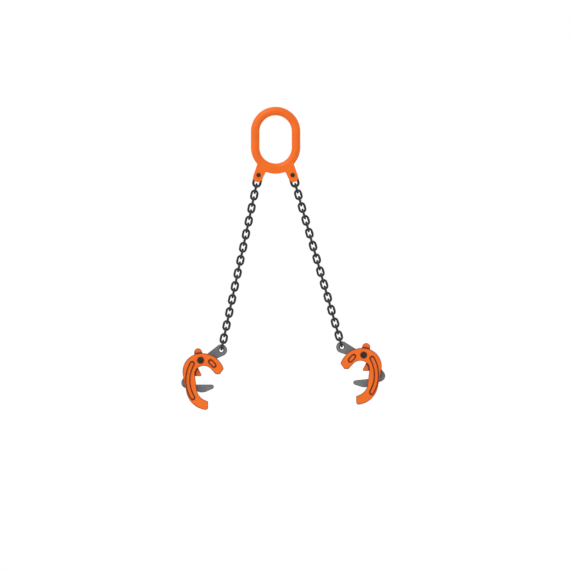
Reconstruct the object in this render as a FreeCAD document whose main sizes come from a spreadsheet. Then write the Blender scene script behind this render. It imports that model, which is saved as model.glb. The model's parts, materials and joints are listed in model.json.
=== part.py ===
import FreeCAD, Part

import collections
import math
import os

import Sketcher
from FreeCAD import Placement, Rotation, Vector

# A two-leg chain sling that ends in two lifting clamps. Millimetres and degrees, +Z up, +X to the
# right and +Y away from the viewer. The origin is the crane hook's seat, inside the top of the
# master link. Each piece of a clamp is drawn about the clamp's pivot, with +X inboard.

SIZES = {
    # Master link: an oblong ring of round bar with two forked lugs under it
    "ring_bar": 31.0,
    "ring_opening_width": 116.0,
    "ring_opening_length": 173.0,
    "lug_pin_outside": 3.5,
    "lug_pin_below": 41.8,
    "lug_splay": 16.0,
    "lug_thick": 30.0,
    "lug_tip_radius": 17.5,
    "lug_tip_reach": 8.5,
    "lug_shoulder_angle": 38.3,
    "lug_shoulder_radius": 3.0,
    "web_reach": 21.5,
    "lug_root_angle": 70.9,
    "lug_root_radius": 5.0,
    "lug_edge_round": 2.5,
    "lug_crown_inset": 5.0,
    "fork_slot_width": 11.0,
    "fork_slot_radius": 21.0,
    # Lug pins and the rings that hold pins
    "lug_pin_size": 12.0,
    "lug_pin_head_size": 14.6,
    "lug_pin_head_thick": 2.5,
    "lug_pin_head_round": 0.6,
    "pin_clearance": 0.06,
    "clip_thick": 1.2,
    "clip_wall": 2.6,
    "clip_groove_depth": 0.8,
    "clip_mouth": 5.0,
    "clip_play": 0.05,
    "pin_tail": 1.8,
    "head_gap": 0.1,
    # Chain
    "end_link_wire": 9.0,
    "end_link_inner_width": 16.0,
    "end_link_inner_length": 44.0,
    "link_wire": 8.0,
    "link_outer_width": 29.0,
    "link_pitch": 24.0,
    "link_seat_gap": 0.2,
    "left_leg_angle": 12.0,
    "right_leg_angle": 16.0,
    # Lever: one bent plate with the chain's eye, the hub, the elbow and the gripping arm
    "lever_thick": 10.0,
    "lever_reach": 83.0,
    "lever_drawn_angle": 22.0,
    "left_lever_angle": 26.0,
    "right_lever_angle": 20.0,
    "eye_radius": 21.0,
    "eye_hole_size": 14.0,
    "eye_seat_gap": 0.35,
    "eye_round_share": 0.44,
    "hub_radius": 18.0,
    "dip_radius": 38.0,
    "dip_angle": 82.0,
    "elbow_reach": 94.6,
    "elbow_angle": 234.6,
    "elbow_radius": 20.0,
    "heel_across": 0.0,
    "heel_drop": 76.0,
    "heel_radius": 40.0,
    "grip_across": 33.0,
    "grip_drop": 98.0,
    "grip_radius": 8.0,
    "crook_across": -22.0,
    "crook_drop": 73.0,
    "crook_radius": 13.0,
    "lever_throat_across": 2.0,
    "lever_throat_drop": 58.0,
    "lever_throat_radius": 37.0,
    "lever_edge_round": 1.5,
    # Cheek plates: the C-shaped sides of a clamp
    "cheek_thick": 8.0,
    "cheek_edge_round": 2.0,
    "crown_across": 6.0,
    "crown_drop": 56.0,
    "crown_radius": 81.5,
    "shoulder_radius": 65.3,
    "shoulder_angle": 110.0,
    "spine_across": 27.1,
    "spine_drop": 99.1,
    "spine_radius": 80.0,
    "toe_radius": 9.0,
    "toe_angle": -97.5,
    "toe_inner_radius": 4.0,
    "toe_inner_angle": -103.0,
    "inner_spine_across": 34.8,
    "inner_spine_drop": 98.1,
    "inner_spine_radius": 49.4,
    "throat_across": 11.9,
    "throat_drop": 55.3,
    "throat_radius": 34.9,
    "throat_back_radius": 27.0,
    "throat_back_angle": 135.5,
    "nose_inner_across": 57.0,
    "nose_inner_radius": 5.0,
    "nose_outer_across": 66.5,
    "nose_outer_radius": 5.5,
    "nose_drop": 50.5,
    "nose_top_radius": 6.0,
    "nose_top_angle": 20.5,
    "groove_across": 74.0,
    "groove_drop": 72.0,
    "groove_path_radius": 120.0,
    "groove_top_angle": 150.0,
    "groove_foot_angle": 211.5,
    "groove_width": 17.0,
    "pocket_depth": 3.0,
    "pocket_upper_across": 36.0,
    "pocket_upper_drop": 5.0,
    "pocket_lower_across": 48.5,
    "pocket_lower_drop": 18.5,
    "pocket_radius": 8.3,
    # Blocks between the cheeks
    "block_inset": 1.5,
    "block_top_drop": 26.0,
    "block_back_across": 50.0,
    "block_corner_radius": 4.0,
    "toe_block_back_across": 2.0,
    "toe_block_upper_drop": 152.0,
    "toe_block_lower_drop": 163.0,
    "toe_block_corner_radius": 5.0,
    "block_play": 0.05,
    # Pivot
    "pivot_size": 16.0,
    "pivot_head_size": 20.0,
    "pivot_head_thick": 4.0,
    "pivot_head_round": 1.2,
    "washer_size": 22.0,
    "washer_thick": 1.6,
    "bush_size": 20.0,
    "bush_proud": 0.2,
    "bush_fit": 0.02,
    "spacer_size": 24.0,
    # Latch: two ears about the lever, with the thumb tab over them and the nose bar under them
    "ear_gap": 0.4,
    "ear_thick": 3.0,
    "side_gap": 6.0,
    "side_play": 0.2,
    "tab_across": -9.0,
    "tab_rise": 29.0,
    "tab_radius": 14.0,
    "ear_hub_radius": 15.0,
    "neck_radius": 7.0,
    "neck_angle": -100.0,
    "bar_across": -1.0,
    "bar_back_across": -18.0,
    "bar_drop": 57.0,
    "bar_corner_radius": 4.0,
    "bar_height": 10.0,
    "bar_width": 10.0,
    "bridge_rise": 28.0,
    "latch_edge_round": 1.0,
    "spring_wire": 1.8,
    "spring_turns": 2.0,
    "spring_inner_radius": 8.4,
    "spring_leg": 18.0,
}

CHAIN_LINKS = 25
CUT_MARGIN = 10.0
TOUCHING = 1e-6

doc = FreeCAD.newDocument("drum_lifting_clamp")
sheet = doc.addObject("Spreadsheet::Sheet", "sizes")
for row, (alias, number) in enumerate(SIZES.items(), start=1):
    sheet.set("A%d" % row, alias)
    sheet.set("B%d" % row, str(number))
    sheet.setAlias("B%d" % row, alias)
doc.recompute()


class Size:
    """A size from the sheet, or one worked out from such sizes: its number and its formula."""

    def __init__(self, number, formula):
        self.number = number
        self.formula = formula

    def __add__(self, other):
        other = as_size(other)
        return Size(self.number + other.number, "(%s + %s)" % (self.formula, other.formula))

    def __sub__(self, other):
        other = as_size(other)
        return Size(self.number - other.number, "(%s - %s)" % (self.formula, other.formula))

    def __mul__(self, other):
        other = as_size(other)
        return Size(self.number * other.number, "%s * %s" % (self.formula, other.formula))

    def __truediv__(self, other):
        other = as_size(other)
        return Size(self.number / other.number, "%s / (%s)" % (self.formula, other.formula))

    def __neg__(self):
        return Size(-self.number, "(-1 * %s)" % self.formula)

    def __radd__(self, other):
        return as_size(other) + self

    def __rsub__(self, other):
        return as_size(other) - self

    def __rmul__(self, other):
        return as_size(other) * self


def as_size(value):
    if isinstance(value, Size):
        return value
    return Size(float(value), "(%s)" % float(value))


def sine(angle):
    return Size(math.sin(math.radians(angle.number)), "sin(%s)" % angle.formula)


def cosine(angle):
    return Size(math.cos(math.radians(angle.number)), "cos(%s)" % angle.formula)


Names = collections.namedtuple("Names", SIZES)
size = Names(*(Size(float(sheet.get(alias)), "sizes." + alias) for alias in SIZES))

# A corner of an outline: its centre, and its radius, which is below zero where the outline bends
# inwards and zero where it is sharp. Blended counts the neighbours that it runs straight into:
# one of them sets its radius, and two of them set how far across it lies as well.
Corner = collections.namedtuple("Corner", "across up radius blended", defaults=(0,))


def blend_inside(corner, radius, angle):
    """A smaller corner of the same sense that touches a corner from inside, at an angle."""
    reach = corner.radius - radius
    across = corner.across + reach * cosine(angle)
    return Corner(across, corner.up + reach * sine(angle), radius, 1)


def blend_outside(corner, radius, angle):
    """A corner of the other sense that touches an inward corner from outside, at an angle."""
    reach = radius - corner.radius
    across = corner.across + reach * cosine(angle)
    return Corner(across, corner.up + reach * sine(angle), radius, 1)


def bind(thing, prop, value):
    """Sets a property to a size and ties it to the sheet."""
    value = as_size(value)
    setattr(thing, prop, value.number)
    if "sizes." in value.formula:
        thing.setExpression(prop, value.formula)


def constrain(sketch, constraint, value):
    index = sketch.addConstraint(constraint)
    if "sizes." in value.formula:
        sketch.setExpression("Constraints[%d]" % index, value.formula)


def pin_point(sketch, geometry, point, across, up):
    """Holds a point of a sketch at its distances from the sketch's origin, where they are given."""
    for kind, value, axis in (("DistanceX", across, -2), ("DistanceY", up, -1)):
        if value is None:
            continue
        value = as_size(value)
        if "sizes." not in value.formula and value.number == 0:
            sketch.addConstraint(Sketcher.Constraint("PointOnObject", geometry, point, axis))
        else:
            distance = Sketcher.Constraint(kind, -1, 1, geometry, point, value.number)
            constrain(sketch, distance, value)


def circle(sketch, across, up, radius):
    across, up, radius = as_size(across), as_size(up), as_size(radius)
    centre = Vector(across.number, up.number, 0)
    index = sketch.addGeometry(Part.Circle(centre, Vector(0, 0, 1), radius.number))
    pin_point(sketch, index, 3, across, up)
    constrain(sketch, Sketcher.Constraint("Radius", index, radius.number), radius)


def tangent(start, end):
    """The straight line that leaves one corner and meets the next one."""
    reach = (end.across.number - start.across.number, end.up.number - start.up.number)
    length = math.hypot(*reach)
    turn = end.radius.number - start.radius.number
    touching = abs(length - abs(turn)) < TOUCHING
    share = math.copysign(1, turn) if touching else turn / length
    heading = math.atan2(reach[1], reach[0]) - math.asin(share)
    normal = Vector(-math.sin(heading), math.cos(heading), 0)
    leave = Vector(start.across.number, start.up.number, 0) - normal * start.radius.number
    meet = Vector(end.across.number, end.up.number, 0) - normal * end.radius.number
    return leave, meet, touching


def outline(sketch, corners):
    """Draws a closed outline, anticlockwise round its corners, with tangents between them."""
    corners = [Corner(*(as_size(value) for value in corner[:3]), *corner[3:]) for corner in corners]
    count = len(corners)
    lines = [tangent(corners[i], corners[(i + 1) % count]) for i in range(count)]
    arcs = []
    for i, corner in enumerate(corners):
        centre = Vector(corner.across.number, corner.up.number, 0)
        radius = corner.radius.number
        if radius == 0:
            arcs.append(None)
            continue
        meet = lines[i - 1][1] - centre
        leave = lines[i][0] - centre
        first, last = (meet, leave) if radius > 0 else (leave, meet)
        start = math.atan2(first.y, first.x)
        end = math.atan2(last.y, last.x)
        if end <= start:
            end += 2 * math.pi
        full = Part.Circle(centre, Vector(0, 0, 1), abs(radius))
        index = sketch.addGeometry(Part.ArcOfCircle(full, start, end))
        arcs.append((index, 1, 2) if radius > 0 else (index, 2, 1))
    segments = []
    for leave, meet, touching in lines:
        segments.append(None if touching else sketch.addGeometry(Part.LineSegment(leave, meet)))
    for i, corner in enumerate(corners):
        arc, following = arcs[i], arcs[(i + 1) % count]
        before, after = segments[i - 1], segments[i]
        if arc is None:
            sketch.addConstraint(Sketcher.Constraint("Coincident", before, 2, after, 1))
            pin_point(sketch, after, 1, corner.across, corner.up)
            continue
        index, meets, leaves = arc
        if after is None:
            joint = (index, leaves, following[0], following[1])
            sketch.addConstraint(Sketcher.Constraint("Tangent", *joint))
        else:
            sketch.addConstraint(Sketcher.Constraint("Tangent", index, leaves, after, 1))
        if before is not None:
            sketch.addConstraint(Sketcher.Constraint("Tangent", before, 2, index, meets))
        across = corner.across if corner.blended < 2 else None
        pin_point(sketch, index, 3, across, corner.up)
        if not corner.blended:
            radius = corner.radius if corner.radius.number > 0 else -corner.radius
            constrain(sketch, Sketcher.Constraint("Radius", index, radius.number), radius)


def rectangle(left, bottom, right, top):
    return [(left, bottom, 0), (right, bottom, 0), (right, top, 0), (left, top, 0)]


def new_body(name):
    return doc.addObject("PartDesign::Body", name)


def new_sketch(body, name, role="XZ_Plane", offset=0):
    """A sketch on one of the body's own planes, moved along the plane's normal."""
    plane = next(item for item in body.Origin.OriginFeatures if item.Role == role)
    sketch = body.newObject("Sketcher::SketchObject", name)
    sketch.AttachmentSupport = [(plane, "")]
    sketch.MapMode = "FlatFace"
    offset = as_size(offset)
    sketch.AttachmentOffset = Placement(Vector(0, 0, offset.number), Rotation())
    if "sizes." in offset.formula:
        sketch.setExpression("AttachmentOffset.Base.z", offset.formula)
    return sketch


def extrude(body, kind, name, sketch, length, side):
    feature = body.newObject(kind, name)
    feature.Profile = sketch
    feature.Type = "Length"
    bind(feature, "Length", length)
    if side == "both":
        feature.SideType = "Symmetric"
    feature.Reversed = side == "back"
    doc.recompute()
    return feature


def pad(body, name, sketch, length, side="front"):
    """Thickens a sketch towards the viewer, away from the viewer or both ways."""
    return extrude(body, "PartDesign::Pad", name, sketch, length, side)


def pocket(body, name, sketch, length, side="front"):
    """Cuts a sketch in away from the viewer, and checks that it takes something away."""
    before = body.Shape.Volume
    feature = extrude(body, "PartDesign::Pocket", name, sketch, length, side)
    if body.Shape.Volume > before - 1:
        raise ValueError(name + " cuts nothing")
    return feature


def drill(body, name, across, up, radius):
    """A round hole right through along Y."""
    sketch = new_sketch(body, name + "_sketch")
    circle(sketch, across, up, radius)
    feature = body.newObject("PartDesign::Pocket", name)
    feature.Profile = sketch
    feature.SideType = "Symmetric"
    feature.Type = "ThroughAll"
    doc.recompute()
    return feature


def round_edges(body, name, levels, radius, hole=None):
    """Rounds the edges that lie flat at the given Y levels: all of them, or those of one hole."""
    base = body.Tip
    names = []
    for index, edge in enumerate(base.Shape.Edges, start=1):
        box = edge.BoundBox
        flat = any(max(abs(box.YMin - y), abs(box.YMax - y)) < TOUCHING for y in levels)
        offset = Vector(box.Center.x, 0, box.Center.z) - hole if hole else Vector()
        if flat and offset.Length < TOUCHING:
            names.append("Edge%d" % index)
    feature = body.newObject("PartDesign::Fillet", name)
    feature.Base = (base, names)
    bind(feature, "Radius", radius)
    doc.recompute()
    return feature


def revolve(body, name, sketch):
    """Turns a half section, drawn on the XY plane, about the Y axis."""
    feature = body.newObject("PartDesign::Revolution", name)
    feature.Profile = sketch
    feature.ReferenceAxis = (sketch, ["V_Axis"])
    feature.Angle = 360
    doc.recompute()
    return feature


def bent_bar(body, name, corners, bar_radius, across, up):
    """A round bar swept along a closed path, from its section at one point of the path."""
    path = new_sketch(body, name + "_path")
    outline(path, corners)
    section = new_sketch(body, name + "_section", "XY_Plane", up)
    circle(section, across, 0, bar_radius)
    doc.recompute()
    feature = body.newObject("PartDesign::AdditivePipe", name)
    feature.Profile = section
    feature.Spine = (path, ["Edge%d" % (i + 1) for i in range(len(path.Shape.Edges))])
    doc.recompute()
    return feature


# Sizes that several pieces share
ring_bar_radius = size.ring_bar / 2
ring_path_radius = size.ring_opening_width / 2 + ring_bar_radius
ring_top_up = -(size.ring_opening_width / 2)
ring_foot_up = -(size.ring_opening_length - size.ring_opening_width / 2)
lug_pin_across = size.ring_opening_width / 2 + size.lug_pin_outside
lug_pin_drop = size.ring_opening_length + size.lug_pin_below
link_inner_radius = size.link_outer_width / 2 - size.link_wire
link_inner_length = size.link_pitch + size.link_seat_gap
lug_pin_radius = size.lug_pin_size / 2
pivot_radius = size.pivot_size / 2
ear_inner = size.lever_thick / 2 + size.ear_gap
ear_outer = ear_inner + size.ear_thick
cheek_inner = ear_outer + size.side_gap
cheek_outer = cheek_inner + size.cheek_thick
eye_across = size.lever_reach * cosine(size.lever_drawn_angle)
eye_up = size.lever_reach * sine(size.lever_drawn_angle)


def make_master_link():
    """Ring and lugs, one forging: the lugs' slab, the bar bent round it, then slots and holes."""
    body = new_body("master_link_forging")
    tip_across = lug_pin_across + size.lug_tip_reach * sine(size.lug_splay)
    tip_up = -(lug_pin_drop + size.lug_tip_reach * cosine(size.lug_splay))
    shoulder_across = ring_path_radius * cosine(size.lug_shoulder_angle)
    shoulder_up = ring_foot_up - ring_path_radius * sine(size.lug_shoulder_angle)
    web_radius = ring_path_radius + size.web_reach
    root_reach = web_radius + size.lug_root_radius
    root_across = root_reach * cosine(size.lug_root_angle)
    root_up = ring_foot_up - root_reach * sine(size.lug_root_angle)
    slab = new_sketch(body, "lug_slab_sketch")
    corners = [
        Corner(tip_across, tip_up, size.lug_tip_radius),
        Corner(shoulder_across, shoulder_up, size.lug_shoulder_radius),
        Corner(0, ring_foot_up, size.lug_crown_inset - ring_path_radius),
        Corner(-shoulder_across, shoulder_up, size.lug_shoulder_radius),
        Corner(-tip_across, tip_up, size.lug_tip_radius),
        Corner(-root_across, root_up, -size.lug_root_radius, 1),
        Corner(0, ring_foot_up, web_radius),
        Corner(root_across, root_up, -size.lug_root_radius, 1),
    ]
    outline(slab, corners)
    pad(body, "lug_slab", slab, size.lug_thick, "both")
    half = SIZES["lug_thick"] / 2
    round_edges(body, "lug_edges", (-half, half), size.lug_edge_round)
    oval = [(0, ring_top_up, ring_path_radius), (0, ring_foot_up, ring_path_radius)]
    middle = (ring_top_up + ring_foot_up) / 2
    bent_bar(body, "ring", oval, ring_bar_radius, ring_path_radius, middle)
    for side, sign in (("left", -1), ("right", 1)):
        pin_across = sign * lug_pin_across
        beyond = size.lug_tip_reach + size.lug_tip_radius + CUT_MARGIN
        slot = new_sketch(body, side + "_slot_sketch")
        ends = [
            (pin_across, -lug_pin_drop, size.fork_slot_radius),
            (
                pin_across + sign * beyond * sine(size.lug_splay),
                -(lug_pin_drop + beyond * cosine(size.lug_splay)),
                size.fork_slot_radius,
            ),
        ]
        outline(slot, ends)
        pocket(body, side + "_slot", slot, size.fork_slot_width, "both")
        hole_radius = lug_pin_radius + size.pin_clearance
        drill(body, side + "_pin_hole", pin_across, -lug_pin_drop, hole_radius)
    return body


def make_pin(name, radius, head_radius, head_thick, head_round, grip, washer):
    """A headed pin along Y: the head in front, and a groove for the clip at the rear."""
    body = new_body(name)
    head_face = -(grip + size.head_gap)
    groove_near = grip + washer + size.clip_play
    groove_far = groove_near + size.clip_thick + size.clip_play * 2
    tail = groove_far + size.pin_tail
    groove_radius = radius - size.clip_groove_depth
    section = new_sketch(body, name + "_section", "XY_Plane")
    corners = [
        (0, head_face - head_thick, 0),
        (head_radius - head_round, head_face - head_thick + head_round, head_round),
        (head_radius, head_face, 0),
        (radius, head_face, 0),
        (radius, groove_near, 0),
        (groove_radius, groove_near, 0),
        (groove_radius, groove_far, 0),
        (radius, groove_far, 0),
        (radius, tail - size.clip_groove_depth, 0),
        (groove_radius, tail, 0),
        (0, tail, 0),
    ]
    outline(section, corners)
    revolve(body, name + "_turned", section)
    return body


def make_clip(name, pin_radius, grip, washer):
    """A retaining ring that snaps sideways into a pin's groove, open on one side."""
    body = new_body(name)
    inner = pin_radius - size.clip_groove_depth + size.clip_play
    near = grip + washer + size.clip_play * 2
    sketch = new_sketch(body, name + "_sketch", offset=-near)
    circle(sketch, 0, 0, inner + size.clip_wall)
    circle(sketch, 0, 0, inner)
    pad(body, name + "_plate", sketch, size.clip_thick, "back")
    mouth = new_sketch(body, name + "_mouth_sketch")
    half = size.clip_mouth / 2
    outline(mouth, rectangle(-half, -(inner + size.clip_wall + CUT_MARGIN), half, 0))
    cut = body.newObject("PartDesign::Pocket", name + "_mouth")
    cut.Profile = mouth
    cut.SideType = "Symmetric"
    cut.Type = "ThroughAll"
    doc.recompute()
    return body


def make_ring(name, inner, outer, near, thick):
    """A plain ring about the Y axis whose front face lies at near."""
    body = new_body(name)
    sketch = new_sketch(body, name + "_sketch", offset=-near)
    circle(sketch, 0, 0, outer)
    circle(sketch, 0, 0, inner)
    pad(body, name + "_plate", sketch, thick, "back")
    return body


def make_link(name, wire, inner_radius, inner_length):
    """A welded chain link, flat on the XZ plane and centred."""
    body = new_body(name)
    path_radius = inner_radius + wire / 2
    centre = inner_length / 2 - inner_radius
    ends = [(0, centre, path_radius), (0, -centre, path_radius)]
    bent_bar(body, name + "_bar", ends, wire / 2, path_radius, 0)
    return body


def cheek_corners():
    """The C's corners, from the nose over the crown, down the spine to the toe and back up."""
    crown = Corner(size.crown_across, -size.crown_drop, size.crown_radius)
    spine = Corner(size.spine_across, -size.spine_drop, size.spine_radius)
    inner = Corner(size.inner_spine_across, -size.inner_spine_drop, -size.inner_spine_radius)
    throat = Corner(size.throat_across, -size.throat_drop, -size.throat_radius)
    back_reach = size.throat_radius - size.throat_back_radius
    back_across = size.throat_across + back_reach * cosine(size.throat_back_angle)
    back_up = back_reach * sine(size.throat_back_angle) - size.throat_drop
    nose_inner_up = size.nose_inner_radius - size.nose_drop
    nose_outer_up = size.nose_outer_radius - size.nose_drop
    return [
        blend_inside(crown, size.nose_top_radius, size.nose_top_angle),
        crown,
        blend_inside(crown, size.shoulder_radius, size.shoulder_angle),
        spine,
        blend_inside(spine, size.toe_radius, size.toe_angle),
        blend_outside(inner, size.toe_inner_radius, size.toe_inner_angle),
        inner,
        Corner(back_across, back_up, -size.throat_back_radius, 1),
        throat,
        Corner(size.nose_inner_across, nose_inner_up, size.nose_inner_radius),
        Corner(size.nose_outer_across, nose_outer_up, size.nose_outer_radius),
    ]


def groove_corners():
    """The long groove's end corners and its two sides, all about one centre."""
    half = size.groove_width / 2
    ends = []
    for angle in (size.groove_top_angle, size.groove_foot_angle):
        across = size.groove_across + size.groove_path_radius * cosine(angle)
        up = size.groove_path_radius * sine(angle) - size.groove_drop
        ends.append(Corner(across, up, half, 2))
    outer = Corner(size.groove_across, -size.groove_drop, size.groove_path_radius + half)
    inner = Corner(size.groove_across, -size.groove_drop, -(size.groove_path_radius - half))
    return [ends[0], outer, ends[1], inner]


def make_cheek(name, front):
    """One side plate: pad, rounded rim, long groove, oval pocket and pivot hole."""
    body = new_body(name)
    plate = new_sketch(body, name + "_sketch", offset=cheek_inner if front else -cheek_outer)
    outline(plate, cheek_corners())
    pad(body, name + "_plate", plate, size.cheek_thick)
    face = cheek_outer.number * (-1 if front else 1)
    round_edges(body, name + "_rim", (face,), size.cheek_edge_round)
    side = "front" if front else "back"
    face_offset = cheek_outer if front else -cheek_outer
    groove = new_sketch(body, name + "_groove_sketch", offset=face_offset)
    outline(groove, groove_corners())
    pocket(body, name + "_groove", groove, size.pocket_depth, side)
    oval = new_sketch(body, name + "_oval_sketch", offset=face_offset)
    ends = [
        (size.pocket_upper_across, -size.pocket_upper_drop, size.pocket_radius),
        (size.pocket_lower_across, -size.pocket_lower_drop, size.pocket_radius),
    ]
    outline(oval, ends)
    pocket(body, name + "_oval", oval, size.pocket_depth, side)
    drill(body, name + "_pivot_hole", 0, 0, pivot_radius + size.pin_clearance)
    return body


def make_hook_block():
    """The solid jaw between the cheeks' noses."""
    body = new_body("hook_block_design")
    corners = cheek_corners()
    nose_top, nose_inner, nose_outer = corners[0], corners[9], corners[10]
    inset = size.block_inset
    sketch = new_sketch(body, "hook_block_sketch")
    top_centre_up = -(size.block_top_drop + size.block_corner_radius)
    block = [
        (nose_top.across, top_centre_up, size.block_corner_radius),
        (size.block_back_across, top_centre_up, size.block_corner_radius),
        (nose_inner.across, nose_inner.up, nose_inner.radius - inset),
        (nose_outer.across, nose_outer.up, nose_outer.radius - inset),
    ]
    outline(sketch, block)
    pad(body, "hook_block_pad", sketch, (cheek_inner - size.block_play) * 2, "both")
    return body


def make_toe_block():
    """The solid jaw between the cheeks' toes."""
    body = new_body("toe_block_design")
    corners = cheek_corners()
    toe, toe_inner = corners[4], corners[5]
    back = size.toe_block_back_across
    radius = size.toe_block_corner_radius
    sketch = new_sketch(body, "toe_block_sketch")
    block = [
        (toe.across, toe.up, toe.radius - size.block_inset),
        (toe_inner.across, toe_inner.up, toe_inner.radius - size.block_inset),
        (back, -size.toe_block_upper_drop, radius),
        (back, -size.toe_block_lower_drop, radius),
    ]
    outline(sketch, block)
    pad(body, "toe_block_pad", sketch, (cheek_inner - size.block_play) * 2, "both")
    return body


def make_lever():
    """One bent plate: chain eye, hub, elbow behind the cheeks and gripping arm."""
    body = new_body("lever_design")
    hub = Corner(as_size(0), as_size(0), size.hub_radius)
    dip_reach = size.hub_radius + size.dip_radius
    elbow_across = size.elbow_reach * cosine(size.elbow_angle)
    elbow_up = size.elbow_reach * sine(size.elbow_angle)
    dip_across = dip_reach * cosine(size.dip_angle)
    dip_up = dip_reach * sine(size.dip_angle)
    corners = [
        Corner(eye_across, eye_up, size.eye_radius),
        Corner(dip_across, dip_up, -size.dip_radius, 1),
        hub,
        Corner(elbow_across, elbow_up, size.elbow_radius),
        Corner(size.heel_across, -size.heel_drop, size.heel_radius),
        Corner(size.grip_across, -size.grip_drop, size.grip_radius),
        Corner(size.crook_across, -size.crook_drop, -size.crook_radius),
        Corner(size.lever_throat_across, -size.lever_throat_drop, -size.lever_throat_radius),
    ]
    plate = new_sketch(body, "lever_sketch")
    outline(plate, corners)
    pad(body, "lever_plate", plate, size.lever_thick, "both")
    half = SIZES["lever_thick"] / 2
    round_edges(body, "lever_rim", (-half, half), size.lever_edge_round)
    drill(body, "lever_bush_hole", 0, 0, size.bush_size / 2)
    drill(body, "lever_eye_hole", eye_across, eye_up, size.eye_hole_size / 2)
    eye = Vector(eye_across.number, 0, eye_up.number)
    eye_round = size.lever_thick * size.eye_round_share
    round_edges(body, "lever_eye_round", (-half, half), eye_round, eye)
    return body


def make_latch():
    """Thumb tab and nose bar on two ears, bent about the lever."""
    body = new_body("latch_design")
    neck_reach = size.ear_hub_radius + size.neck_radius
    bar_centre_up = size.bar_corner_radius - size.bar_drop
    neck_across = neck_reach * cosine(size.neck_angle)
    neck_up = neck_reach * sine(size.neck_angle)
    corners = [
        Corner(size.tab_across, size.tab_rise, size.tab_radius),
        Corner(size.bar_back_across, bar_centre_up, size.bar_corner_radius),
        Corner(size.bar_across, bar_centre_up, size.bar_corner_radius),
        Corner(neck_across, neck_up, -size.neck_radius, 1),
        Corner(as_size(0), as_size(0), size.ear_hub_radius),
    ]
    sketch = new_sketch(body, "latch_sketch")
    outline(sketch, corners)
    pad(body, "latch_plate", sketch, ear_outer * 2, "both")
    round_edges(body, "latch_rim", (-ear_outer.number, ear_outer.number), size.latch_edge_round)
    gap = new_sketch(body, "latch_gap_sketch")
    bar_left = size.bar_across + size.bar_corner_radius - size.bar_width
    bar_top = size.bar_height - size.bar_drop
    far_left = size.tab_across - size.tab_radius - CUT_MARGIN
    far_right = size.ear_hub_radius + CUT_MARGIN
    far_down = -(size.bar_drop + CUT_MARGIN)
    steps = [
        (far_left, far_down, 0),
        (bar_left, far_down, 0),
        (bar_left, bar_top, 0),
        (far_right, bar_top, 0),
        (far_right, size.bridge_rise, 0),
        (far_left, size.bridge_rise, 0),
    ]
    outline(gap, steps)
    pocket(body, "latch_gap", gap, ear_inner * 2, "both")
    drill(body, "latch_pivot_hole", 0, 0, pivot_radius + size.pin_clearance)
    return body


def make_spring():
    """The latch's torsion spring: a short coil about the pivot with a straight leg at each end."""
    wire = SIZES["spring_wire"]
    radius = SIZES["spring_inner_radius"] + wire / 2
    turns = SIZES["spring_turns"]
    room = SIZES["side_gap"] - 2 * SIZES["side_play"] - wire
    pitch = room / turns
    near = -(ear_outer.number + SIZES["side_play"] + wire / 2)
    helix = Part.makeHelix(pitch, room, radius)
    helix.Placement = Placement(Vector(0, near, 0), Rotation(Vector(1, 0, 0), 90))
    first = helix.Edges[0].firstVertex().Point
    last = helix.Edges[-1].lastVertex().Point
    leg = SIZES["spring_leg"]
    upper = Part.makeLine(first - Vector(0, 0, leg), first)
    lower = Part.makeLine(last, last + Vector(0, 0, leg))
    path = Part.Wire([upper] + helix.Edges + [lower])
    section = Part.Wire(Part.makeCircle(wire / 2, first - Vector(0, 0, leg), Vector(0, 0, 1)))
    feature = doc.addObject("Part::Feature", "spring_design")
    feature.Shape = path.makePipeShell([section], True, True)
    return feature


def turned(angle):
    """Turns about the Y axis, anticlockwise as the viewer sees it."""
    return Rotation(Vector(0, -1, 0), angle)


nodes = []


def place(label, placement, designs):
    """One sub-part: copies of designs, each at its own place, moved together to their place."""
    links = []
    for design, local in designs:
        link = doc.addObject("App::Link", "copy_%03d" % (1 + len(doc.Objects)))
        link.setLink(design)
        link.Placement = local
        links.append(link)
    node = doc.addObject("Part::Compound", label)
    node.Label = label
    node.Links = links
    node.Placement = placement
    nodes.append(node)
    return node


HERE = Placement()
FACE_ON = Rotation()
EDGE_ON = Rotation(Vector(0, 0, 1), 90)
end_link_top = lug_pin_radius + size.link_seat_gap
end_link_foot = end_link_top - size.end_link_inner_length
eye_drop = (
    end_link_foot.number
    - CHAIN_LINKS * SIZES["link_pitch"]
    + SIZES["eye_seat_gap"]
    - SIZES["eye_hole_size"] / 2
)


def pin_place(sign):
    """The lug pin's frame, upright."""
    return Placement(Vector(sign * lug_pin_across.number, 0, -lug_pin_drop.number), Rotation())


def leg_place(sign, angle):
    """The leg's frame: at the lug pin, with -Z along the leg."""
    return Placement(pin_place(sign).Base, turned(sign * angle))


def link_centre(number):
    """How far under the lug pin the centre of a chain link lies."""
    foot = end_link_foot.number - number * SIZES["link_pitch"]
    return foot + link_inner_length.number / 2


def clamp_place(sign, leg, lever_angle):
    """The clamp's frame: at its pivot, upright, with +X inboard."""
    eye = leg.multVec(Vector(0, 0, eye_drop))
    reach = SIZES["lever_reach"]
    inboard = -sign * reach * math.cos(math.radians(lever_angle))
    rise = reach * math.sin(math.radians(lever_angle))
    turn = Rotation(Vector(0, 0, 1), 180 if sign > 0 else 0)
    return Placement(eye - Vector(inboard, 0, rise), turn)


def place_leg(side, leg):
    centre = end_link_top.number - SIZES["end_link_inner_length"] / 2
    place(side + "_end_link", leg, [(end_link, Placement(Vector(0, 0, centre), FACE_ON))])
    for first in range(1, CHAIN_LINKS + 1, 2):
        links = [(chain_link, Placement(Vector(0, 0, link_centre(first)), EDGE_ON))]
        if first < CHAIN_LINKS:
            links.append((chain_link, Placement(Vector(0, 0, link_centre(first + 1)), FACE_ON)))
        place("%s_chain_%02d" % (side, (first + 1) // 2), leg, links)


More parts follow.
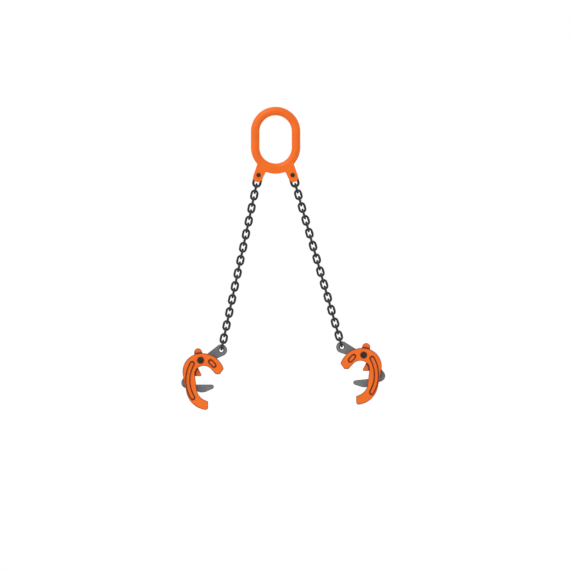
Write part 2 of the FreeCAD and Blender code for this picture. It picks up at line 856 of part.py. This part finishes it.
def place_clamp(side, clamp, lever_turn):
    for name, design in clamp_pieces.items():
        place("%s_%s" % (side, name), clamp, [(design, HERE)])
    for name, design in lever_pieces.items():
        turn = Placement(Vector(0, 0, 0), turned(lever_turn))
        place("%s_%s" % (side, name), clamp * turn, [(design, HERE)])


lug_grip = size.lug_thick / 2
master_link = make_master_link()
lug_pin_head = size.lug_pin_head_size / 2
lug_pin = make_pin(
    "lug_pin_design",
    lug_pin_radius,
    lug_pin_head,
    size.lug_pin_head_thick,
    size.lug_pin_head_round,
    lug_grip,
    as_size(0),
)
lug_clip = make_clip("lug_clip_design", lug_pin_radius, lug_grip, as_size(0))
end_link = make_link(
    "end_link_design",
    size.end_link_wire,
    size.end_link_inner_width / 2,
    size.end_link_inner_length,
)
chain_link = make_link("chain_link_design", size.link_wire, link_inner_radius, link_inner_length)
pivot_bore = pivot_radius + size.pin_clearance
clamp_pieces = {
    "cheek_head_side": make_cheek("cheek_head_side_design", True),
    "cheek_clip_side": make_cheek("cheek_clip_side_design", False),
    "hook_block": make_hook_block(),
    "toe_block": make_toe_block(),
    "pivot_pin": make_pin(
        "pivot_pin_design",
        pivot_radius,
        size.pivot_head_size / 2,
        size.pivot_head_thick,
        size.pivot_head_round,
        cheek_outer,
        size.washer_thick,
    ),
    "pivot_washer": make_ring(
        "pivot_washer_design",
        pivot_bore,
        size.washer_size / 2,
        cheek_outer,
        size.washer_thick,
    ),
    "pivot_clip": make_clip("pivot_clip_design", pivot_radius, cheek_outer, size.washer_thick),
    "pivot_spacer": make_ring(
        "pivot_spacer_design",
        pivot_bore,
        size.spacer_size / 2,
        ear_outer + size.side_play,
        size.side_gap - size.side_play * 2,
    ),
    "latch_spring": make_spring(),
    "latch": make_latch(),
}
bush_near = -(size.lever_thick / 2 + size.bush_proud)
lever_pieces = {
    "lever": make_lever(),
    "lever_bush": make_ring(
        "lever_bush_design",
        pivot_bore,
        size.bush_size / 2 - size.bush_fit,
        bush_near,
        size.lever_thick + size.bush_proud * 2,
    ),
}

place("master_link", HERE, [(master_link, HERE)])
for side, sign in (("left", -1), ("right", 1)):
    place(side + "_lug_pin", pin_place(sign), [(lug_pin, HERE)])
    place(side + "_lug_clip", pin_place(sign), [(lug_clip, HERE)])
    leg = leg_place(sign, SIZES[side + "_leg_angle"])
    place_leg(side, leg)
    lever_angle = SIZES[side + "_lever_angle"]
    clamp = clamp_place(sign, leg, lever_angle)
    place_clamp(side, clamp, lever_angle - SIZES["lever_drawn_angle"])
doc.recompute()

for item in doc.Objects:
    if "Invalid" in item.State or "Error" in item.State:
        raise ValueError("%s failed: %s" % (item.Name, item.State))
for node in nodes:
    if node.Shape.isNull() or not node.Shape.isValid() or not node.Shape.Solids:
        raise ValueError(node.Label + " has no valid shape")

os.makedirs("parts", exist_ok=True)
for node in nodes:
    node.Shape.exportStep("parts/%s.step" % node.Label)
print("%d nodes written" % len(nodes))
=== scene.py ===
import json
import math

import bmesh
import bpy
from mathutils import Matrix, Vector


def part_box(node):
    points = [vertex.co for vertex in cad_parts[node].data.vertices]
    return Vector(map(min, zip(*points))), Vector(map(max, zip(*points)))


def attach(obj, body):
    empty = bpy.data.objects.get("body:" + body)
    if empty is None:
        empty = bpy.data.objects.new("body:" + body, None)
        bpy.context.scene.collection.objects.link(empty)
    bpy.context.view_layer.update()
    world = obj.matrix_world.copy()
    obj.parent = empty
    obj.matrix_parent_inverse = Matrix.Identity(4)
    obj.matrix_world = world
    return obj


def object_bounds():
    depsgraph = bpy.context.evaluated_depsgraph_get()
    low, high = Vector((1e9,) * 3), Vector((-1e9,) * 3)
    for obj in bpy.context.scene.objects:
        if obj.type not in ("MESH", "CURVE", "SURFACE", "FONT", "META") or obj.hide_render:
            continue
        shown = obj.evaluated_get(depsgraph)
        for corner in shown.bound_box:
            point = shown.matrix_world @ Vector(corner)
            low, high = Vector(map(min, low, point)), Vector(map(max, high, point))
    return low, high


# Looks for the drum lifting clamp: two legs of chain on a master link, with a clamp at the end of
# each. Metres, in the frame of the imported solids: origin at the crane hook's seat, +Z up and +X to
# the right. The pieces made here are the welds: one on each link of the chains and four in each
# clamp. Everything else is a carried-over solid with a new material.

MM = 0.001

# Chain, as the solids have it
LINK_COUNT = 25
LINK_PITCH = 24.0 * MM
LINK_WIRE_RADIUS = 4.0 * MM
LINK_SIDE_OFFSET = 10.5 * MM
PIN_TO_FIRST_LINK = 37.7 * MM

# Welds. A link's weld sinks into the wire at both ends, and a seam thins to a rounded end.
LINK_WELD_LENGTH = 6.5 * MM
LINK_WELD_SWELL = 0.7 * MM
LINK_WELD_SINK = 0.05 * MM
LINK_WELD_FULLNESS = 0.7
LINK_WELD_STEPS = 10
WELD_RING_POINTS = 20
SEAM_RADIUS = 2.2 * MM
SEAM_RIPPLE = 0.28 * MM
SEAM_RIPPLE_PITCH = 2.6 * MM
SEAM_STEPS_PER_RIPPLE = 4
SEAM_THINNEST_SQUARED = 0.05
SEAM_INSET = 4.5 * MM
HOOK_SEAM_FRONT_INSET = 9.0 * MM
TOE_SEAM_LENGTH = 9.0 * MM

# Finish: the angle from which an edge stays sharp, the samples of the soft shading nodes, and the
# width of the dark rims
SHARP_ANGLE = math.radians(32)
HOLLOW_SAMPLES = 16
EDGE_SAMPLES = 8
PLATE_RIM_WIDTH = 7.0 * MM
LEVER_RIM_WIDTH = 5.0 * MM

# Where a noise turns from one tone to the other, in clouds of colour and in roughness
NOISE_ROUGHNESS = 0.55
CLOUD_BAND = (0.35, 0.65)
GLOSS_BAND = (0.3, 0.7)

# Cosines. An edge or a rim is full up to the first of its pair and fades out by the second, and a
# plate's face fades in between the two of its own.
EDGE_BAND = (0.93, 0.99)
RIM_BAND = (0.90, 0.985)
FACE_BAND = (0.05, 0.20)

# A Mix node's colour sockets go by their places, because other sockets have the same names
MIX_ONE = 6
MIX_OTHER = 7
MIX_RESULT = 2

# Colours, linear
ORANGE = (0.90, 0.155, 0.006)
ORANGE_DULL = (0.84, 0.14, 0.006)
ORANGE_PALE = (0.94, 0.20, 0.03)
# Dark maroon, for the dark edges and rims and for the painted shade in recesses
MAROON = (0.095, 0.007, 0.002)
LEVER_GREY = (0.165, 0.172, 0.180)
LEVER_GREY_DARK = (0.135, 0.140, 0.148)
BARE_STEEL = (0.46, 0.45, 0.44)
# Near black, for the lever's dark rims and for its painted shade in recesses
RIM_AND_SHADE_BLACK = (0.02, 0.02, 0.022)
BLACK_STEEL = (0.018, 0.018, 0.020)
BROWN_BLACK = (0.030, 0.024, 0.022)
BRONZE = (0.56, 0.33, 0.12)
BRONZE_DARK = (0.40, 0.22, 0.08)
SPRING_STEEL = (0.52, 0.52, 0.54)
SPRING_STEEL_DARK = (0.36, 0.36, 0.38)
FLOOR_COLOUR = (0.90, 0.90, 0.90)

# Camera: level and square to the set, at the photograph's scale. The origin's pixel is where the
# hook's seat stands in the photograph.
IMAGE_SIZE = 570
PIXEL_SIZE = 3.6 * MM
ORIGIN_PIXEL = (275.6, 115.4)
CAMERA_DISTANCE = 4.0

# Stage: the floor lies below the set, and the lamps shine along their directions
FLOOR_DROP = 0.5
FLOOR_SIZE = 30.0
SKY_LIGHT = 0.66
KEY_LIGHT = 1.25
FILL_LIGHT = 0.35
KEY_DIRECTION = (0.5, 0.75, -0.8)
FILL_DIRECTION = (-0.7, -0.6, -0.5)
SOFT_ANGLE = math.radians(40)

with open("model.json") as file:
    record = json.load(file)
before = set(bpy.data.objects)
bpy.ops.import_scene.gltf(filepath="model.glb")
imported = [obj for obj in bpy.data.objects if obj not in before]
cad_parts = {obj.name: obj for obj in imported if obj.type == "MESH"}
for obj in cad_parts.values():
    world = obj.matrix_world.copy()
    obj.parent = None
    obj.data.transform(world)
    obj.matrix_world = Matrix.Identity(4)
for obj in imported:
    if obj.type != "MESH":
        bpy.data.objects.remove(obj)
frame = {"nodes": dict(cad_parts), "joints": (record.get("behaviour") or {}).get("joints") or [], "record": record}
cad_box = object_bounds()


class Paint:
    """A material's node tree, with short calls for the nodes that the finishes share."""

    def __init__(self, name, colour, metallic, roughness):
        self.material = bpy.data.materials.new(name)
        self.material.use_nodes = True
        self.tree = self.material.node_tree
        self.shader = self.tree.nodes["Principled BSDF"]
        self.shader.inputs["Base Color"].default_value = (*colour, 1)
        self.shader.inputs["Metallic"].default_value = metallic
        self.shader.inputs["Roughness"].default_value = roughness
        self.place = self.node("ShaderNodeTexCoord").outputs["Object"]

    def node(self, kind, **inputs):
        made = self.tree.nodes.new(kind)
        for name, value in inputs.items():
            socket = made.inputs[name.replace("_", " ")]
            self.feed(socket, value)
        return made

    def feed(self, socket, value):
        """Links an output to a socket, or sets the socket to a value."""
        if isinstance(value, bpy.types.NodeSocket):
            self.tree.links.new(value, socket)
        else:
            socket.default_value = value

    def noise(self, scale, detail=4.0):
        made = self.node("ShaderNodeTexNoise", Vector=self.place, Scale=scale, Detail=detail)
        made.inputs["Roughness"].default_value = NOISE_ROUGHNESS
        return made.outputs["Fac"]

    def spread(self, value, low, high, to_low, to_high):
        """Maps a value from one range to another, held at both ends."""
        made = self.node("ShaderNodeMapRange", Value=value)
        made.clamp = True
        ends = {"From Min": low, "From Max": high, "To Min": to_low, "To Max": to_high}
        for name, number in ends.items():
            made.inputs[name].default_value = number
        return made.outputs["Result"]

    def clouds(self, scale):
        """Soft clouds, from 0 to 1."""
        return self.spread(self.noise(scale), *CLOUD_BAND, 0, 1)

    def wander(self, value, smoothest, roughest):
        """A roughness that follows a noise between two values."""
        return self.spread(value, *GLOSS_BAND, smoothest, roughest)

    def times(self, one, other):
        made = self.tree.nodes.new("ShaderNodeMath")
        made.operation = "MULTIPLY"
        self.feed(made.inputs[0], one)
        self.feed(made.inputs[1], other)
        return made.outputs["Value"]

    def blend(self, factor, one, other):
        """Colour one where the factor is 0 and the other where it is 1."""
        made = self.tree.nodes.new("ShaderNodeMix")
        made.data_type = "RGBA"
        self.feed(made.inputs["Factor"], factor)
        for place, value in ((MIX_ONE, one), (MIX_OTHER, other)):
            if not isinstance(value, bpy.types.NodeSocket):
                value = (*value, 1)
            self.feed(made.inputs[place], value)
        return made.outputs[MIX_RESULT]

    def hollows(self, reach, full=0.35, none=0.8):
        """1 where a spot is only as open as full, as in a recess, and 0 from as open as none: the mask of the
        painted shade.
        """
        shade = self.node("ShaderNodeAmbientOcclusion", Distance=reach)
        shade.samples = HOLLOW_SAMPLES
        return self.spread(shade.outputs["AO"], full, none, 1, 0)

    def normals(self, reach):
        """The normal as rounded edges of that reach would give it, and the true one."""
        rounded = self.node("ShaderNodeBevel", Radius=reach)
        rounded.samples = EDGE_SAMPLES
        true = self.tree.nodes.new("ShaderNodeNewGeometry")
        return rounded.outputs["Normal"], true.outputs["Normal"]

    def edges(self, reach):
        """1 on sharp outer edges and 0 on flat faces."""
        rounded, true = self.normals(reach)
        made = self.tree.nodes.new("ShaderNodeVectorMath")
        made.operation = "DOT_PRODUCT"
        self.feed(made.inputs[0], rounded)
        self.feed(made.inputs[1], true)
        return self.spread(made.outputs["Value"], *EDGE_BAND, 1, 0)

    def facing(self, normal):
        """How squarely a normal, in world space, lies along the object's own Y axis."""
        turned = self.node("ShaderNodeVectorTransform", Vector=normal)
        turned.vector_type = "NORMAL"
        turned.convert_from = "WORLD"
        turned.convert_to = "OBJECT"
        parts = self.node("ShaderNodeSeparateXYZ", Vector=turned.outputs["Vector"])
        made = self.tree.nodes.new("ShaderNodeMath")
        made.operation = "ABSOLUTE"
        self.feed(made.inputs[0], parts.outputs["Y"])
        return made.outputs["Value"]

    def rims(self, reach):
        """1 along the rims of a plate that lies square to the Y axis, and 0 elsewhere on it."""
        rounded, true = self.normals(reach)
        near_rim = self.spread(self.facing(rounded), *RIM_BAND, 1, 0)
        on_face = self.spread(self.facing(true), *FACE_BAND, 0, 1)
        return self.times(near_rim, on_face)

    def bump(self, height, depth, below=None):
        """Relief of that depth, on top of another where one is given."""
        made = self.node("ShaderNodeBump", Height=height, Distance=depth)
        made.inputs["Strength"].default_value = 1.0
        if below:
            self.feed(made.inputs["Normal"], below)
        return made.outputs["Normal"]

    def finish(self, colour, roughness, normal):
        """Feeds the shader, and gives the material."""
        self.feed(self.shader.inputs["Base Color"], colour)
        self.feed(self.shader.inputs["Roughness"], roughness)
        self.feed(self.shader.inputs["Normal"], normal)
        return self.material


def orange_paint(name, plate):
    """Bright powder coat, clouded, with dark maroon along its edges and painted shade in its recesses, both most
    of all on plates.
    """
    paint = Paint(name, ORANGE, 0.0, 0.42)
    paint.shader.inputs["Specular IOR Level"].default_value = 0.22
    paint.shader.inputs["Coat Weight"].default_value = 0.08
    paint.shader.inputs["Coat Roughness"].default_value = 0.2
    colour = paint.blend(paint.clouds(22.0), ORANGE, ORANGE_DULL)
    scuffs = paint.spread(paint.noise(160.0, 6.0), 0.60, 0.68, 0, 0.35)
    colour = paint.blend(scuffs, colour, ORANGE_PALE)
    edge_strength = paint.spread(paint.noise(120.0), 0.3, 0.5, 0.6, 0.95)
    if plate:
        edge_tint = paint.times(paint.rims(PLATE_RIM_WIDTH), edge_strength)
        painted_shade = paint.times(paint.hollows(10 * MM, 0.80, 0.93), 0.96)
    else:
        edge_tint = paint.times(paint.edges(1.0 * MM), edge_strength)
        painted_shade = paint.times(paint.hollows(6 * MM, 0.45, 0.85), 0.8)
    # Dark maroon along the rims of plates and the edges of other parts, strong nearly everywhere along them
    colour = paint.blend(edge_tint, colour, MAROON)
    # Painted shade: dark maroon in the recesses, from ambient occlusion, stronger on plates
    colour = paint.blend(painted_shade, colour, MAROON)
    roughness = paint.wander(paint.noise(60.0), 0.36, 0.52)
    peel = paint.bump(paint.noise(900.0, 2.0), 0.05 * MM)
    return paint.finish(colour, roughness, paint.bump(paint.noise(70.0), 0.25 * MM, peel))


def lever_grey():
    """Satin grey paint over forged steel, dark along the rims, with bright spots of bare steel on edges and
    painted shade in recesses.
    """
    paint = Paint("lever_grey_paint", LEVER_GREY, 0.25, 0.45)
    colour = paint.blend(paint.clouds(30.0), LEVER_GREY, LEVER_GREY_DARK)
    edge_strength = paint.spread(paint.noise(140.0), 0.55, 0.65, 0, 0.8)
    edge_tint = paint.times(paint.edges(0.9 * MM), edge_strength)
    colour = paint.blend(paint.times(paint.rims(LEVER_RIM_WIDTH), 0.8), colour, RIM_AND_SHADE_BLACK)
    colour = paint.blend(edge_tint, colour, BARE_STEEL)
    # Painted shade: near black in the recesses, from ambient occlusion
    colour = paint.blend(paint.times(paint.hollows(8 * MM), 0.6), colour, RIM_AND_SHADE_BLACK)
    roughness = paint.wander(paint.noise(75.0), 0.38, 0.55)
    grain = paint.bump(paint.noise(700.0, 3.0), 0.06 * MM)
    return paint.finish(colour, roughness, paint.bump(paint.noise(60.0), 0.3 * MM, grain))


def black_steel(name, metallic, shine, bare):
    """Blackened steel: brown-black clouding, and as bare as stated where it rubs."""
    paint = Paint(name, BLACK_STEEL, metallic, 0.4)
    paint.shader.inputs["Specular IOR Level"].default_value = shine
    colour = paint.blend(paint.clouds(90.0), BLACK_STEEL, BROWN_BLACK)
    edge_strength = paint.spread(paint.noise(200.0), 0.45, 0.6, 0, bare)
    edge_tint = paint.times(paint.edges(0.6 * MM), edge_strength)
    colour = paint.blend(edge_tint, colour, BARE_STEEL)
    roughness = paint.wander(paint.noise(240.0), 0.3, 0.5)
    return paint.finish(colour, roughness, paint.bump(paint.noise(500.0, 3.0), 0.08 * MM))


def bare_metal(name, colour, darker, smoothest, roughest):
    """Machined or drawn metal, clouded, with fine scratches along the Y axis."""
    paint = Paint(name, colour, 1.0, smoothest)
    stretch = paint.node("ShaderNodeMapping", Vector=paint.place, Scale=(1, 0.08, 1))
    paint.place = stretch.outputs["Vector"]
    scratches = paint.noise(1500.0, 3.0)
    tint = paint.blend(paint.clouds(120.0), colour, darker)
    roughness = paint.wander(scratches, smoothest, roughest)
    return paint.finish(tint, roughness, paint.bump(scratches, 0.03 * MM))


finishes = {
    "orange_paint": orange_paint("orange_powder_coat", plate=False),
    "orange_plate": orange_paint("orange_plate_coat", plate=True),
    "lever_grey": lever_grey(),
    "chain_steel": black_steel("chain_black_steel", 0.5, 0.5, 0.35),
    "black_steel": black_steel("pin_black_steel", 0.15, 0.2, 0.25),
    "bush_bronze": bare_metal("bush_bronze_metal", BRONZE, BRONZE_DARK, 0.25, 0.45),
    "spring_steel": bare_metal("spring_wire_metal", SPRING_STEEL, SPRING_STEEL_DARK, 0.2, 0.4),
}


def dress(obj, finish):
    """Gives a piece its finish, with edges kept sharp where faces meet at an angle."""
    obj.data.materials.clear()
    obj.data.materials.append(finishes[finish])
    obj.data.shade_smooth()
    obj.data.set_sharp_from_angle(angle=SHARP_ANGLE)


def new_piece(name, form, slot_name, body):
    """Makes a piece that rides on a body, from a form that it uses up."""
    mesh = bpy.data.meshes.new(name)
    bmesh.ops.recalc_face_normals(form, faces=form.faces)
    form.to_mesh(mesh)
    form.free()
    obj = bpy.data.objects.new(name, mesh)
    bpy.context.scene.collection.objects.link(obj)
    dress(obj, slot_name)
    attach(obj, body)


def skin(form, rings, closed_ends):
    """Joins rings of points, each with the same count, into a tube."""
    rows = [[form.verts.new(point) for point in ring] for ring in rings]
    count = len(rows[0])
    for row, following in zip(rows, rows[1:]):
        for i in range(count):
            j = (i + 1) % count
            form.faces.new((row[i], row[j], following[j], following[i]))
    if closed_ends:
        form.faces.new(reversed(rows[0]))
        form.faces.new(rows[-1])


def ring_points(centre, along, across, radius):
    """Points on a circle about an axis, from a direction that lies across it."""
    third = along.cross(across)
    points = []
    for i in range(WELD_RING_POINTS):
        angle = 2 * math.pi * i / WELD_RING_POINTS
        points.append(centre + (across * math.cos(angle) + third * math.sin(angle)) * radius)
    return points


def add_link_weld(form, centre, along, across):
    """The swelling where a link's wire was butt welded, round the middle of one straight side."""
    rings = []
    for i in range(LINK_WELD_STEPS + 1):
        share = i / LINK_WELD_STEPS
        crown = math.sin(math.pi * share) ** LINK_WELD_FULLNESS
        swell = LINK_WELD_SWELL * crown - LINK_WELD_SINK
        middle = centre + along * (share - 0.5) * LINK_WELD_LENGTH
        rings.append(ring_points(middle, along, across, LINK_WIRE_RADIUS + swell))
    skin(form, rings, closed_ends=False)


def weld_chain(side):
    """One weld on each link, beside the leg's line from the lug pin to the lever's eye."""
    joints = {joint["name"]: joint for joint in frame["joints"]}
    pin = Vector(joints[side + "_leg_swing"]["pos_m"])
    eye = Vector(joints[side + "_eye_hinge"]["pos_m"])
    along = (eye - pin).normalized()
    edge_on = Vector((0, 1, 0))
    face_on = along.cross(edge_on)
    for first in range(1, LINK_COUNT + 1, 2):
        node = "%s_chain_%02d" % (side, (first + 1) // 2)
        form = bmesh.new()
        for number, sideways in ((first, edge_on), (first + 1, face_on)):
            if number > LINK_COUNT:
                continue
            reach = PIN_TO_FIRST_LINK + (number - 0.5) * LINK_PITCH
            centre = pin + along * reach + sideways * LINK_SIDE_OFFSET
            add_link_weld(form, centre, along, sideways)
        new_piece(node + "_welds", form, "chain_steel", node)


def add_seam(form, start, end, across):
    """A rippled fillet weld with rounded ends, along a straight corner."""
    run = end - start
    along = run.normalized()
    steps = SEAM_STEPS_PER_RIPPLE * round(run.length / SEAM_RIPPLE_PITCH)
    rings = []
    for i in range(steps + 1):
        travelled = run.length * i / steps
        ripple = SEAM_RIPPLE * abs(math.sin(math.pi * travelled / SEAM_RIPPLE_PITCH))
        near_end = min(travelled, run.length - travelled) / SEAM_RADIUS
        taper = math.sqrt(max(SEAM_THINNEST_SQUARED, 1 - max(0, 1 - near_end) ** 2))
        radius = (SEAM_RADIUS + ripple) * taper
        rings.append(ring_points(start + along * travelled, along, across, radius))
    skin(form, rings, closed_ends=True)


def weld_blocks(side, inboard):
    """Fillet welds of the jaw blocks to the cheek plates. Inboard is +1 or -1 along X."""
    low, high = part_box(side + "_hook_block")
    cheek_faces = (-high.y, high.y)
    back, front = sorted((low.x * inboard, high.x * inboard))
    over_hook = ((back + SEAM_INSET) * inboard, (front - HOOK_SEAM_FRONT_INSET) * inboard)
    seams = [tuple(Vector((x, 0, high.z)) for x in over_hook)]
    low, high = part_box(side + "_toe_block")
    back = min(low.x * inboard, high.x * inboard) * inboard
    foot = low.z + SEAM_INSET
    seams.append(tuple(Vector((back, 0, z)) for z in (foot, foot + TOE_SEAM_LENGTH)))
    form = bmesh.new()
    for start, end in seams:
        for y in cheek_faces:
            offset = Vector((0, y, 0))
            add_seam(form, start + offset, end + offset, Vector((0, 1, 0)))
    new_piece(side + "_block_welds", form, "orange_paint", side + "_clamp")


# The cheeks and the latches get the dark rims of plates. The rest goes by its slot.
for subpart in frame["record"]["subparts"]:
    node = subpart["node"]
    plate = "_cheek_" in node or node.endswith("_latch")
    dress(frame["nodes"][node], "orange_plate" if plate else subpart["material_slot"])
for side, inboard in (("left", 1), ("right", -1)):
    weld_chain(side)
    weld_blocks(side, inboard)


def seen_or_mirrored(tree):
    """1 for what the camera sees straight or in metal or glass, and 0 for light on the object."""
    rays = tree.nodes.new("ShaderNodeLightPath")
    total = None
    for name in ("Is Camera Ray", "Is Glossy Ray", "Is Transmission Ray"):
        if total is None:
            total = rays.outputs[name]
            continue
        joined = tree.nodes.new("ShaderNodeMath")
        joined.operation = "MAXIMUM"
        tree.links.new(total, joined.inputs[0])
        tree.links.new(rays.outputs[name], joined.inputs[1])
        total = joined.outputs["Value"]
    return total


def make_world():
    """A white backdrop that lights the object at a plain level."""
    world = bpy.data.worlds.new("white_studio")
    world.use_nodes = True
    tree = world.node_tree
    sky = tree.nodes["Background"]
    sky.inputs["Color"].default_value = (1, 1, 1, 1)
    level = tree.nodes.new("ShaderNodeMapRange")
    level.inputs["To Min"].default_value = SKY_LIGHT
    level.inputs["To Max"].default_value = 1.0
    tree.links.new(seen_or_mirrored(tree), level.inputs["Value"])
    tree.links.new(level.outputs["Result"], sky.inputs["Strength"])
    bpy.context.scene.world = world


def make_floor(height):
    mesh = bpy.data.meshes.new("floor")
    half = FLOOR_SIZE / 2
    corners = [(x * half, y * half, height) for x, y in ((-1, -1), (1, -1), (1, 1), (-1, 1))]
    mesh.from_pydata(corners, [], [(0, 1, 2, 3)])
    floor = bpy.data.objects.new("floor", mesh)
    bpy.context.scene.collection.objects.link(floor)
    paint = Paint("pale_floor", FLOOR_COLOUR, 0.0, 0.9)
    mesh.materials.append(paint.material)


def make_sun(name, energy, direction):
    data = bpy.data.lights.new(name, "SUN")
    data.energy = energy
    data.angle = SOFT_ANGLE
    sun = bpy.data.objects.new(name, data)
    sun.rotation_mode = "QUATERNION"
    sun.rotation_quaternion = Vector(direction).to_track_quat("-Z", "Y")
    bpy.context.scene.collection.objects.link(sun)


def make_camera():
    data = bpy.data.cameras.new("camera")
    data.type = "ORTHO"
    data.ortho_scale = IMAGE_SIZE * PIXEL_SIZE
    camera = bpy.data.objects.new("camera", data)
    centre = IMAGE_SIZE / 2
    across = (centre - ORIGIN_PIXEL[0]) * PIXEL_SIZE
    up = (ORIGIN_PIXEL[1] - centre) * PIXEL_SIZE
    camera.location = (across, -CAMERA_DISTANCE, up)
    camera.rotation_euler = (math.radians(90), 0, 0)
    bpy.context.scene.collection.objects.link(camera)
    bpy.context.scene.camera = camera


make_world()
make_floor(cad_box[0].z - FLOOR_DROP)
make_sun("key_light", KEY_LIGHT, KEY_DIRECTION)
make_sun("fill_light", FILL_LIGHT, FILL_DIRECTION)
make_camera()
bpy.context.scene.view_settings.view_transform = "Standard"
